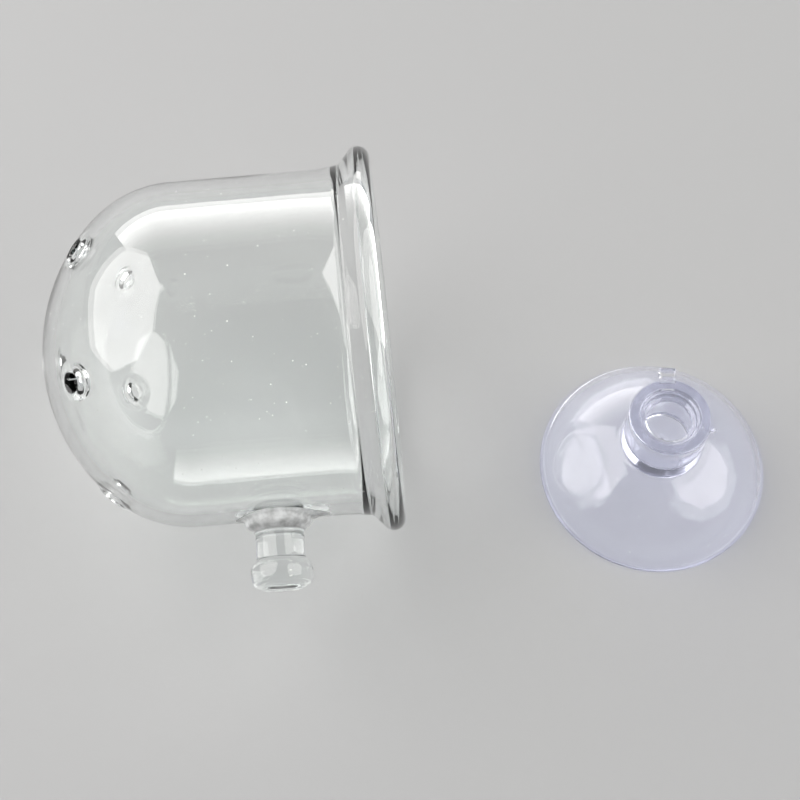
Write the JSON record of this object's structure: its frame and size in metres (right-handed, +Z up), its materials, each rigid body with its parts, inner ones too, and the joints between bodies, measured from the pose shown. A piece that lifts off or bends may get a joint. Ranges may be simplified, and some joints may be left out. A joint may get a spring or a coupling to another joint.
{
  "type": "aquarium glass bell with suction cup",
  "caption": "Clear glass bell with a domed end pierced by small feed holes, a thick rim bead and a solid side peg, and a clear suction cup with a collar that clips onto the peg.",
  "frame": {"origin": "middle of the whole set in plan, on the table that the bell and the cup rest on", "axes": "+Z up from the table; +X from the bell's dome towards the suction cup; the peg points to -Y and slightly down"},
  "size_m": [0.1253, 0.0742, 0.0633],
  "materials": {
    "clear_glass": "fire-polished clear borosilicate glass",
    "clear_soft_vinyl": "clear soft vinyl with a faint lavender tint, slightly oily sheen"
  },
  "bodies": {
    "bell": {"bell_shell": "clear_glass", "rim_bead": "clear_glass", "mounting_peg": "clear_glass"},
    "cup_skirt": {"suction_skirt": "clear_soft_vinyl"},
    "cup_collar": {"peg_socket": "clear_soft_vinyl"}
  },
  "joints": [
    {"name": "suction_cup_lift", "type": "slide", "parent": "bell", "child": "cup_skirt", "axis": [0, 0, 1], "range_m": [0, 0.07]},
    {"name": "skirt_press", "type": "slide", "parent": "cup_skirt", "child": "cup_collar", "axis": [0, 0, -1], "range_m": [0, 0.005], "stiffness_N_per_m": 600, "deforming": ["suction_skirt"]}
  ]
}
